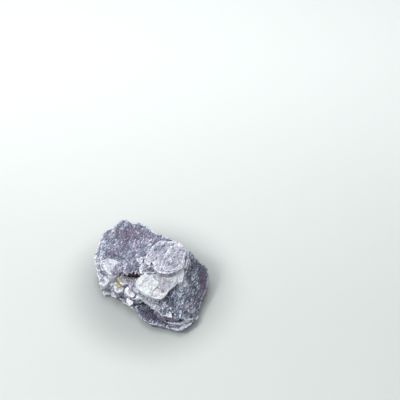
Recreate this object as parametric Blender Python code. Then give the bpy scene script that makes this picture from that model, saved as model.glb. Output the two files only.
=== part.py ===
"""A lump of raw lepidolite: mica plates grown together into one block, with a flat base.

Metres, +Z up. The origin is on the ground under the middle of the lump, +X runs along its
longest side and +Y towards its back. Every cleavage plate is an outline seen from above, cut
into thin leaves whose rims don't line up, and all the plates are joined into one solid.
"""

import math

import bmesh
import bpy
import numpy as np

MM = 0.001
POINT_SPACING = 2.1 * MM  # between the corners along a plate's rim
RAGGED = 0.35 * MM  # how far a broken rim strays from its smooth line
LEAF_STEP = 0.45 * MM  # how far one leaf stands in or out from the next
RIM_CHAMFER = 0.35 * MM  # the broken-off edge of a plate's top leaf
GROUND_GAP = 1.2 * MM  # how far every plate but the base plate stays off the ground
BOX_MIDDLE = np.array([0.001, 0.587]) * MM  # the middle of the whole lump, in the outlines' own coordinates

LEPIDOLITE = (0.36, 0.34, 0.44, 1.0)
LEPIDOLITE_ROUGHNESS = 0.45


class Plate:
    """One cleavage plate. Lengths are in millimetres.

    outline: the rim of the top face, anticlockwise seen from above
    top: height of the top face's plane above the ground at x = y = 0
    dip: rise of that plane per millimetre towards +X and +Y
    thickness: from the top face to the underside
    leaves: how many leaves the rim shows
    spread: how far the foot stands outside the top rim, all round
    lean: how much further it stands out on the side that lean_to points at, in degrees
    angular: the rim runs straight from point to point, as on a broken chip
    """

    def __init__(self, name, outline, top, dip=(0, 0), thickness=3, leaves=2, spread=0, lean=0, lean_to=0,
                 angular=False):
        self.name = name
        self.outline = np.array(outline) * MM
        self.angular = angular
        self.top = top * MM
        self.dip = np.array(dip)
        self.thickness = thickness * MM
        self.leaves = leaves
        self.spread = spread * MM
        self.lean = lean * MM
        self.lean_to = math.radians(lean_to)


# The plates from the ground up. The first one carries the others and has the flat base.
BASE_PLATE = Plate(
    "base_plate",
    [(28, -7), (28, 1), (26.5, 8), (19, 14.5), (5, 20), (-9, 24), (-19, 20), (-25, 13), (-26, 5), (-23, -1),
     (-17, -5.5), (-11, -10), (-7.8, -14.5), (-6, -18.6), (-3, -22.4), (4, -25.6), (9, -26.4), (14.6, -28.6),
     (18.5, -27.2), (22.4, -24), (25.2, -20.2), (26, -15)],
    top=5.4, dip=(0.01, 0.02), thickness=5.4, leaves=3, spread=-1.6,
)
PLATES = [
    Plate(
        "core",
        [(20.5, 8.5), (13, 14.5), (3, 18.5), (-6, 22.5), (-15, 25), (-21, 20.5), (-23.5, 12), (-22.5, 4), (-17, -1.5),
         (-10, -2.4), (-5, -3.2), (-2.4, -6), (4, -6.4), (13, -6), (18.4, -4.5), (20, 1)],
        top=20.2, dip=(0.139, 0.141), thickness=18, leaves=8, spread=1.5, lean=2.5, lean_to=-60,
    ),
    Plate(
        "step_plate",
        [(20.3, 6.5), (19.6, 1), (18.3, -2.2), (13, -2.6), (6.4, -2.8), (4, -4.6), (0, -5), (-2.8, -4.8), (-5, -3.4),
         (-4, 1), (4, 6), (12, 9.5)],
        top=23.3, dip=(0.02, 0.04), thickness=7, leaves=4, spread=0.8,
    ),
    Plate(
        "rear_ledge",
        [(29.6, 5.5), (28, 9), (23.5, 13.5), (17, 16.5), (7, 21), (-5, 25.5), (-13, 28), (-20, 24), (-24, 17), (-20, 8),
         (0, 4), (18, 0)],
        top=15.4, dip=(-0.1, -0.17), thickness=8.5, leaves=4, spread=-0.6,
    ),
    Plate(
        "rear_block",
        [(0, 14), (-1.6, 21), (-5, 25), (-9, 25.4), (-12, 28), (-16, 27.4), (-21.6, 23.4), (-24.4, 16), (-22, 12),
         (-10, 10)],
        top=17.4, dip=(0.05, -0.05), thickness=6, leaves=2, spread=-0.5,
    ),
    Plate(
        "rear_step",
        [(10, 12), (11, 15.4), (15.6, 15), (19.4, 14.2), (21.4, 11.8), (23.6, 9.8), (24, 6), (23, 2), (12, 2)],
        top=17.2, dip=(-0.02, -0.02), thickness=6, leaves=2, spread=0.6,
    ),
    Plate(
        "flank",
        [(17.6, -4), (17.8, -8), (19, -12), (18, -17.6), (17, -21), (17.6, -23.8), (20.8, -23.8), (24.4, -20.8),
         (26.6, -15.4), (28, -10.5), (29.9, -5.2), (30.8, 0), (31.1, 4.4), (29.4, 7.1), (24.6, 8.6), (20.6, 9.4),
         (18.8, 3)],
        top=38, dip=(-0.95, 0.45), thickness=9, leaves=2, spread=-1, lean=0.8, lean_to=-60,
    ),
    Plate(
        "front_slab",
        [(18.4, -5), (19.2, -12), (18, -18), (17.2, -22.4), (15.4, -24.2), (12, -24.7), (9, -24), (6.6, -22.8),
         (4.4, -20.9), (1.2, -17.8), (-2, -15.6), (-5.6, -13), (-8.6, -9), (-5, -4), (8, -3)],
        top=18.6, dip=(0.1, 0.44), thickness=5, leaves=4, spread=-1.2, lean=1.2, lean_to=90,
    ),
    Plate(
        "slab_sheet",
        [(17.4, -7), (18.2, -12.6), (16.4, -15), (14.6, -19.4), (12, -21.9), (9.4, -20.4), (8, -21.6), (5.4, -18.4),
         (2.4, -14.8), (3.4, -10), (8, -7)],
        top=19.1, dip=(0.1, 0.45), thickness=1.6, leaves=2, spread=0.3, angular=True,
    ),
    Plate(
        "under_lip",
        [(4, -20), (8.4, -23.9), (12, -25.6), (16, -25.8), (19, -23.8), (18, -18), (8, -16)],
        top=7.4, dip=(0.02, 0.03), thickness=3, leaves=2, spread=0.4,
    ),
    Plate(
        "lower_lobe",
        [(-12, 0), (-21, 3), (-26.8, 2), (-27.6, -2), (-25.4, -5.8), (-21.4, -5.6), (-18, -7.6), (-14.6, -10.4),
         (-11, -13), (-7, -15.6), (-3, -15), (-4, -8)],
        top=11.25, dip=(0.25, 0.4), thickness=4.4, leaves=3, spread=-0.8,
    ),
    Plate(
        "middle_lobe",
        [(-12, 2), (-22, 5), (-28.6, 3.4), (-28.2, -0.4), (-26.8, -4), (-23.6, -3.4), (-20.6, -4.6), (-18.4, -7.8),
         (-15, -7.8), (-12.6, -11), (-8.6, -13.4), (-4.5, -13), (-5, -6)],
        top=20.3, dip=(0.3, 0.5), thickness=5, leaves=3, spread=0.3,
    ),
    Plate(
        "upper_lobe",
        [(-13.2, -4.4), (-15, 2), (-20, 5), (-26, 6), (-26.6, 2.4), (-23.6, 0.4), (-21.4, -2.6), (-17.6, -3.4),
         (-15, -6.6), (-11.4, -7), (-8.8, -10.6), (-5.4, -11.4), (-4.2, -8.4), (-5, -6), (-7, -4.4),
         (-8.6, -4.4), (-10.6, -4.6)],
        top=23.3, dip=(0.25, 0.6), thickness=6, leaves=4, spread=0.3,
    ),
    Plate(
        "crumb_left",
        [(-21.4, -2.2), (-23, -0.6), (-25.6, -1), (-26.6, -3.6), (-24.6, -5.4), (-22.4, -4.4)],
        top=24.2, dip=(0.42, 0.5), thickness=3.5, leaves=2, spread=0.3, angular=True,
    ),
    Plate(
        "crumb_front",
        [(-14, -6.4), (-16.4, -4.8), (-19, -6), (-19.4, -7.8), (-17, -9.4), (-14.6, -9)],
        top=19.6, dip=(0.3, 0.34), thickness=4, leaves=2, spread=0.3, angular=True,
    ),
    Plate(
        "left_sliver",
        [(-22, 23), (-27.6, 20.4), (-30, 16.8), (-31, 12.8), (-30.6, 8.9), (-28.6, 3.4), (-22, 2)],
        top=12.8, dip=(0.02, 0.26), thickness=6, leaves=4, spread=-0.9,
    ),
    Plate(
        "top_plate",
        [(19, 8.4), (13.5, 13.8), (9.6, 16.4), (6, 19.6), (1.6, 21.2), (-2, 24.3), (-5.6, 27.2), (-8.4, 28.1),
         (-10.3, 26.6), (-12.6, 29), (-15.2, 30), (-18, 29.2), (-19.9, 27.5), (-21.2, 25.2), (-24.8, 24.4),
         (-27, 20.8), (-27.6, 12), (-26.6, 3.2), (-23.3, -0.9), (-21, -3.2), (-18.8, -4.6), (-16.6, -3.4), (-14.6, -1.6),
         (-12.2, -3.6), (-10.4, -2), (-8.2, -1.3), (-6.6, -2.4), (-4.4, -3.2), (5, -3.6), (15, -2), (18.6, 2)],
        top=21.85, dip=(0.139, 0.141), thickness=3.6, leaves=3, spread=-0.7,
    ),
    Plate(
        "top_sheet",
        [(15, 10.6), (8, 15.2), (1, 18.6), (-4, 22.6), (-8, 23), (-11.4, 21.4), (-14.6, 24.6), (-18, 23.4),
         (-17.6, 19.6), (-21, 15), (-19, 9.4), (-13.4, 6.6), (-9.6, 1.8), (-3.6, 0.6), (6, -1), (14, -1)],
        top=22.1, dip=(0.139, 0.141), thickness=1.4, leaves=1, spread=0.2,
    ),
    Plate(
        "round_plate_foot",
        [(18.4, 6), (17, 10.6), (13.6, 12.2), (8.6, 12.8), (4.6, 11.8), (1.6, 9.4), (-0.8, 6), (-2.4, 3.4), (-2.4, 1),
         (0, -1.2), (2, -1.6), (3.2, -3.6), (5.4, -5), (9, -5.7), (13.6, -4.8), (16.4, -2.6), (17.6, 1)],
        top=24.4, dip=(0.05, 0.07), thickness=3, leaves=2, spread=0.4,
    ),
    Plate(
        "round_plate",
        [(19.4, 5.8), (17.7, 9.9), (15.4, 11.9), (11, 12.9), (8, 13.4), (5.8, 13.4), (3.6, 11.6), (2, 10), (-0.1, 6.6),
         (-1.7, 3.4), (-0.8, 1.6), (1.9, -0.3), (2.6, -2.6), (3.8, -4.8), (6, -6.1), (9.3, -6.9), (12.3, -6.9), (15, -5.6),
         (17.4, -3.3), (18.5, 0.8)],
        top=25.6, dip=(0.04, 0.075), thickness=1.5, leaves=1, spread=-0.4,
    ),
    Plate(
        "round_leaf",
        [(18.9, 5.6), (17.2, 9.3), (15, 11), (12.6, 10.4), (11.4, 11.4), (9.6, 9.8), (9.4, 7.6), (8.2, 5.4), (7.4, 2.6),
         (6.2, -0.4), (6.4, -3.4), (9.6, -6), (13.6, -5.6), (16.6, -3.4), (18, 0.8)],
        top=25.95, dip=(0.04, 0.075), thickness=1.1, leaves=2, spread=0.2,
    ),
    Plate(
        "centre_flake",
        [(17.9, -4.6), (17.6, -2.4), (14, -3.4), (5, -3.8), (0, -4.8), (-4, -5.4), (-6.5, -8.6), (-6.3, -10.6),
         (-4.8, -12.8), (-2.8, -14.4), (0.8, -15.9), (4.2, -17), (6.4, -16.8), (8.4, -15.6), (10.2, -13.6), (12, -11.2),
         (14.3, -8.8), (17.4, -7.8)],
        top=25, dip=(-0.02, 0.53), thickness=3.4, leaves=2, spread=-0.5, lean=0.8, lean_to=90,
    ),
    Plate(
        "bright_flake",
        [(1.6, -5.8), (3.2, -7.6), (5, -8.9), (3.9, -10.4), (2.3, -12.2), (1.3, -14), (0.4, -15.4), (-2.6, -14),
         (-4.6, -12.6), (-6, -10.4), (-6, -8.6), (-3.8, -6), (-1.4, -5.6)],
        top=25.45, dip=(-0.02, 0.53), thickness=1.6, leaves=2, spread=0.1,
    ),
    Plate(
        "oval_flake",
        [(-11.2, -7.2), (-9.4, -8.8), (-8.2, -11), (-8.3, -12.8), (-10, -13.1), (-11.8, -11.6), (-13.2, -9.4), (-12.8, -7.8)],
        top=18.4, dip=(0.16, 0.36), thickness=1.8, leaves=1, spread=-0.2,
    ),
    Plate(
        "silver_lip",
        [(-12.8, -11.4), (-9.6, -11), (-8.2, -12.6), (-8.6, -14.6), (-10.2, -15.4), (-12, -13.4)],
        top=16.6, dip=(0.2, 0.42), thickness=2, leaves=1, spread=-0.2, angular=True,
    ),
    Plate(
        "edge_chip",
        [(-3.4, 4), (-4.6, 5), (-6.4, 4), (-6, 1.8), (-4, 1.6)],
        top=23.2, dip=(0.06, 0.2), thickness=1.6, leaves=1, angular=True,
    ),
    Plate(
        "foot_chip",
        [(1.6, 1), (0.2, 2.4), (-1.6, 1.6), (-1.8, -0.4), (0.4, -0.8)],
        top=24.6, dip=(0.1, 0.16), thickness=1.4, leaves=2, angular=True,
    ),
    Plate(
        "rim_chip",
        [(-18, -7), (-19.6, -5.6), (-21.4, -6.2), (-21, -8), (-18.8, -8.6)],
        top=11.6, dip=(0.1, 0.5), thickness=1.6, leaves=2, angular=True,
    ),
    Plate(
        "lip_chip",
        [(12, -23.6), (10.8, -21.4), (7.4, -21.6), (7.8, -23.4)],
        top=20.2, dip=(0.1, 0.46), thickness=1.8, leaves=1, angular=True,
    ),
]


def rim_line(points, spacing, angular):
    """A closed line through the points, read at even steps: straight, or a Catmull-Rom curve."""
    fine = []
    for i in range(len(points)):
        before, start, end, after = (points[(i + k) % len(points)] for k in (-1, 0, 1, 2))
        for t in np.arange(0, 1, 1 / 16):
            curve = 0.5 * (
                2 * start
                + (end - before) * t
                + (2 * before - 5 * start + 4 * end - after) * t**2
                + (3 * start - before - 3 * end + after) * t**3
            )
            fine.append(start + (end - start) * t if angular else curve)
    fine = np.array(fine + fine[:1])
    along = np.concatenate([[0], np.cumsum(np.linalg.norm(np.diff(fine, axis=0), axis=1))])
    count = max(10, round(along[-1] / spacing))
    at = np.arange(count) * along[-1] / count
    return np.stack([np.interp(at, along, fine[:, axis]) for axis in (0, 1)], axis=1)


def outward(points):
    """Unit directions that point out of an anticlockwise outline, one at each point."""
    along = np.roll(points, -1, axis=0) - np.roll(points, 1, axis=0)
    out = np.stack([along[:, 1], -along[:, 0]], axis=1)
    return out / np.linalg.norm(out, axis=1, keepdims=True)


def anticlockwise(points):
    following = np.roll(points, -1, axis=0)
    area = np.sum(points[:, 0] * following[:, 1] - following[:, 0] * points[:, 1])
    return points if area > 0 else points[::-1]


def plate_rings(plate, random):
    """The plate's rims from the top face down: each is the outline moved in or out, at its height."""
    rim = rim_line(anticlockwise(plate.outline) - BOX_MIDDLE, POINT_SPACING, plate.angular)
    out = outward(rim)
    facing = np.cos(np.arctan2(out[:, 1], out[:, 0]) - plate.lean_to)
    foot = plate.spread + plate.lean * np.maximum(facing, 0)
    raggedness = random.uniform(-RAGGED, RAGGED, len(rim))
    offsets = [-RIM_CHAMFER, 0]
    depths = [0, RIM_CHAMFER]
    for leaf in range(1, plate.leaves + 1):
        side = -1 if leaf % 2 else 1
        offsets.append(side * random.uniform(0.5, 1) * LEAF_STEP)
        depths.append(RIM_CHAMFER + (plate.thickness - RIM_CHAMFER) * leaf / plate.leaves)
    rings = []
    for offset, depth in zip(offsets, depths):
        move = offset + raggedness + foot * depth / plate.thickness
        place = rim + out * move[:, None]
        top = plate.top + (place + BOX_MIDDLE) @ plate.dip
        room = np.minimum((top - GROUND_GAP) / plate.thickness, 1)
        height = top - depth * room
        rings.append(np.column_stack([place, height]))
    return rings


def build_plate(plate, random, flat_foot=False):
    """A closed solid: a face across the top rim, a band of quads between each two rims, and the underside."""
    rings = plate_rings(plate, random)
    if flat_foot:
        rings[-1][:, 2] = 0
    mesh = bmesh.new()
    loops = [[mesh.verts.new(point) for point in ring] for ring in rings]
    mesh.faces.new(loops[0])
    for upper, lower in zip(loops, loops[1:]):
        for i in range(len(upper)):
            j = (i + 1) % len(upper)
            mesh.faces.new((upper[j], upper[i], lower[i], lower[j]))
    mesh.faces.new(loops[-1][::-1])
    bmesh.ops.triangulate(mesh, faces=mesh.faces[:])
    data = bpy.data.meshes.new(plate.name)
    mesh.to_mesh(data)
    mesh.free()
    return bpy.data.objects.new(plate.name, data)


def outer_skin(data):
    """Leaves only the largest of the closed surfaces in the mesh, which fills the gaps sealed inside the lump."""
    mesh = bmesh.new()
    mesh.from_mesh(data)
    unseen = set(mesh.faces)
    skins = []
    while unseen:
        skin = [unseen.pop()]
        for face in skin:
            for edge in face.edges:
                found = unseen.intersection(edge.link_faces)
                unseen -= found
                skin.extend(found)
        skins.append(skin)
    skins.sort(key=lambda skin: sum(face.calc_area() for face in skin))
    for inner in skins[:-1]:
        bmesh.ops.delete(mesh, geom=inner, context="FACES")
    mesh.to_mesh(data)
    mesh.free()


def lepidolite_material():
    material = bpy.data.materials.new("lepidolite")
    material.use_nodes = True
    shader = material.node_tree.nodes["Principled BSDF"]
    shader.inputs["Base Color"].default_value = LEPIDOLITE
    shader.inputs["Roughness"].default_value = LEPIDOLITE_ROUGHNESS
    shader.inputs["Metallic"].default_value = 0
    return material


def clear_scene():
    for old in list(bpy.data.objects):
        bpy.data.objects.remove(old, do_unlink=True)


def join_plates(lump, plates):
    """One closed solid from all the plates, by a Boolean union."""
    grown_on = bpy.data.collections.new("plates")
    bpy.context.scene.collection.children.link(grown_on)
    for plate in plates:
        grown_on.objects.link(plate)
    joined = lump.modifiers.new("grown together", "BOOLEAN")
    joined.operation = "UNION"
    joined.operand_type = "COLLECTION"
    joined.collection = grown_on
    whole = lump.evaluated_get(bpy.context.evaluated_depsgraph_get())
    solid = bpy.data.meshes.new_from_object(whole)
    lump.modifiers.clear()
    lump.data = solid
    for plate in plates:
        bpy.data.objects.remove(plate, do_unlink=True)
    bpy.data.collections.remove(grown_on)
    outer_skin(lump.data)


def main():
    clear_scene()
    random = np.random.default_rng(1861)
    lump = build_plate(BASE_PLATE, random, flat_foot=True)
    lump.name = "lepidolite_lump"
    lump.data.materials.append(lepidolite_material())
    bpy.context.scene.collection.objects.link(lump)
    join_plates(lump, [build_plate(plate, random) for plate in PLATES])


main()
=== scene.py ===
"""The looks of a lump of raw lepidolite: mica plates grown together, their leafy broken rims,
and the small scales that lie on them. Metres, +Z up; +Y is the lump's back.
"""

import math

import bpy
import numpy as np
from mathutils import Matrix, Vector


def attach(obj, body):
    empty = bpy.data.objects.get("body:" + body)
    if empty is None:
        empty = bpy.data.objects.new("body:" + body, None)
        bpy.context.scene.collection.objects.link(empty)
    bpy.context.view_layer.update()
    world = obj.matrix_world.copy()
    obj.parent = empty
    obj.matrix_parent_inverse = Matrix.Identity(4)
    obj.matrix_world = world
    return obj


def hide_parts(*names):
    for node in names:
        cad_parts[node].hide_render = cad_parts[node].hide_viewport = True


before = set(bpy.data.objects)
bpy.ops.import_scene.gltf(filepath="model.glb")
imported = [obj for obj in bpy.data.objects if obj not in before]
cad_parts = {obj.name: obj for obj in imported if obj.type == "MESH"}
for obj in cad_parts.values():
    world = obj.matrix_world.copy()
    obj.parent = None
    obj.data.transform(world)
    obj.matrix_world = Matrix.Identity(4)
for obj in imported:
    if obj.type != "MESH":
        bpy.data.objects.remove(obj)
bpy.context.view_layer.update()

NODE = "lepidolite_lump"

bl_info = {
    "name": "Raw lepidolite",
    "version": (1, 0, 0),
    "blender": (4, 5, 0),
    "location": "3D View > Sidebar > Lepidolite",
    "description": "Builds a lump of raw lepidolite, its mica scales and a plain stage",
    "category": "Object",
}

MM = 0.001

# How the lump is seen
VIEW_PITCH = math.radians(50)  # how far the camera looks down
VIEW_DEPTH = 0.430  # from the camera to the lump, along the camera's axis
PICTURE_SIDE = 400  # pixels
FOCAL_PIXELS = 782
LUMP_PIXEL = (151.5, 289.1)  # where the middle of the lump's foot stands in the picture
SENSOR = 36.0  # millimetres

# The plates' outlines have a middle of their own; this is the middle of the lump's box in them
BOX_MIDDLE = np.array([0.001, 0.587])
STREAK_TURN = math.radians(50)  # how the streaks and the leaf steps of the faces run, from +X
LATTICE_SIDE = 64  # cells to a side before the random numbers repeat
TRIANGLES_MOST = 190_000

# The plates, in millimetres
RIM_WIDTH = 1.8  # of a face beside its rim, and of the leaves under it, that may be painted paler, partly as painted highlight
GROUND_GAP = 1.2  # that every plate but the base plate stays off the ground
RELIEF_FADE = 3  # depth under the face over which the relief of a plate thicker than this dies out
STEP_SIZES = (5.5, 1.9)  # widths of the broad and the small patches where a face misses leaves
SWELL_SIZE = 11  # width of a face's slow swells
SWELL_HEIGHT = 0.5
BEND = 0.9  # between the least and the most that the slow field moves a point
BEND_SIZES = (5.5, 6.5, 7.5)  # widths of that field's bumps, for X, Y and Z
RIPPLE = 0.45  # the quick field's share of BEND
RIPPLE_SIZES = (1.9, 2.1, 2.3)
SHARED_KNOTS = (4, 1.6)  # between the knots of the two zigzags that all the leaves of a rim share
OWN_KNOTS = (2.5, 1.1)  # and of the two that each leaf has for itself
LEAF_MEMORY = 0.55  # how much of the last leaf's line the next one keeps
BREAK_CHANCE = 0.28  # that a leaf has a piece broken away
BREAK_HALF = (1.5, 5)  # half the length of such a piece
BREAK_DEPTH = (1.2, 2.6)  # how far it reaches in, before the raggedness scales it

# The loose scales
SCALE_CORNERS = 7
SCALE_SPREAD = 0.5  # how much their sizes vary, as powers of e
SCALE_RANGE = (-1.5, 1.25)  # least and most of that power
SCALE_TONES = 0.5  # how much their tones vary
SCALE_STRAY = 0.45  # how far their lengths stray from the streaks
SCALE_UNEVEN = 0.32  # how far a corner stands from its even place round the rim, in steps
SCALE_RIM = 0.25  # no scale lies where the rim value is over this
SCALE_LOWEST = 2.5 * MM  # above the ground
# How thickly they lie on each finish
SCALES_WANTED = {"plate": 1.0, "pale": 0.8, "bright": 0.5, "slab": 1.6, "flank": 1.4, "edge": 1.0}

# What all the mica has in common; sizes in millimetres
CLOUD_SIZE = 6.0
GRAIN_SIZE = 0.7
LINE_SIZE = (7.0, 0.42)  # length and width of the lines along a broken edge
COOL_TINT = (0.88, 0.99, 1.0)  # where the mica turns a little blue-green
WARM_TINT = (1.0, 0.92, 0.95)  # and where it turns a little pink
# Painted shade: the tint that darkens hollows and cracks
PAINTED_HOLLOW_SHADE = (0.2, 0.17, 0.24)
MICA_IOR = 1.56

# The kinds of the node groups' sockets that aren't plain numbers
SOCKET_KINDS = {"Position": "Vector", "Normal": "Vector", "Color": "Color"}

# The stage, in metres
FLOOR_BEND = 0.5  # radius of the curve from the floor to the wall
FLOOR_WALL = 0.4
PAINTED_SHADOW_OVAL = (0.033, 0.031, 1)  # half axes of the ellipse that just holds the lump's foot; the floor's painted shadow lies round it
KEY_LIGHT = {"place": (-0.08, 0.17, 0.62), "size": 0.35}
SMALL_LIGHT = {"place": (-0.45, -0.16, 0.65), "size": 0.2}
BACK_LIGHT = {"place": (0, 1, 0.6), "size": 0.6, "aim": (0, 0.35, 0)}


class Plate:
    """One cleavage plate. Lengths are in millimetres.

    outline: the rim of the top face, seen from above
    top: height of the top face's plane above the ground at x = y = 0
    dip: rise of that plane per millimetre towards +X and +Y
    thickness: from the top face to the underside
    finish: which of FINISHES its top face has
    spread: how far the foot stands outside the top rim, all round
    lean: how much further it stands out on the side that lean_to points at, in degrees
    steps: how many thin leaves are missing from the lowest parts of its top face
    angular: the rim runs straight from point to point, as on a broken chip
    shine: how much paler than the face its rim is painted, partly the leaves' silvery edges and partly
    painted highlight
    """

    def __init__(self, name, outline, top, dip=(0, 0), thickness=3, finish="plate", spread=0, lean=0,
                 lean_to=0, steps=3, angular=False, shine=1):
        self.name = name
        self.outline = np.array(outline, float)
        self.top = top
        self.dip = np.array(dip, float)
        self.thickness = thickness
        self.finish = finish
        self.spread = spread
        self.lean = lean
        self.lean_to = math.radians(lean_to)
        self.steps = steps
        self.angular = angular
        self.shine = shine


FINISHES = ("plate", "pale", "bright", "slab", "flank", "edge")

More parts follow.
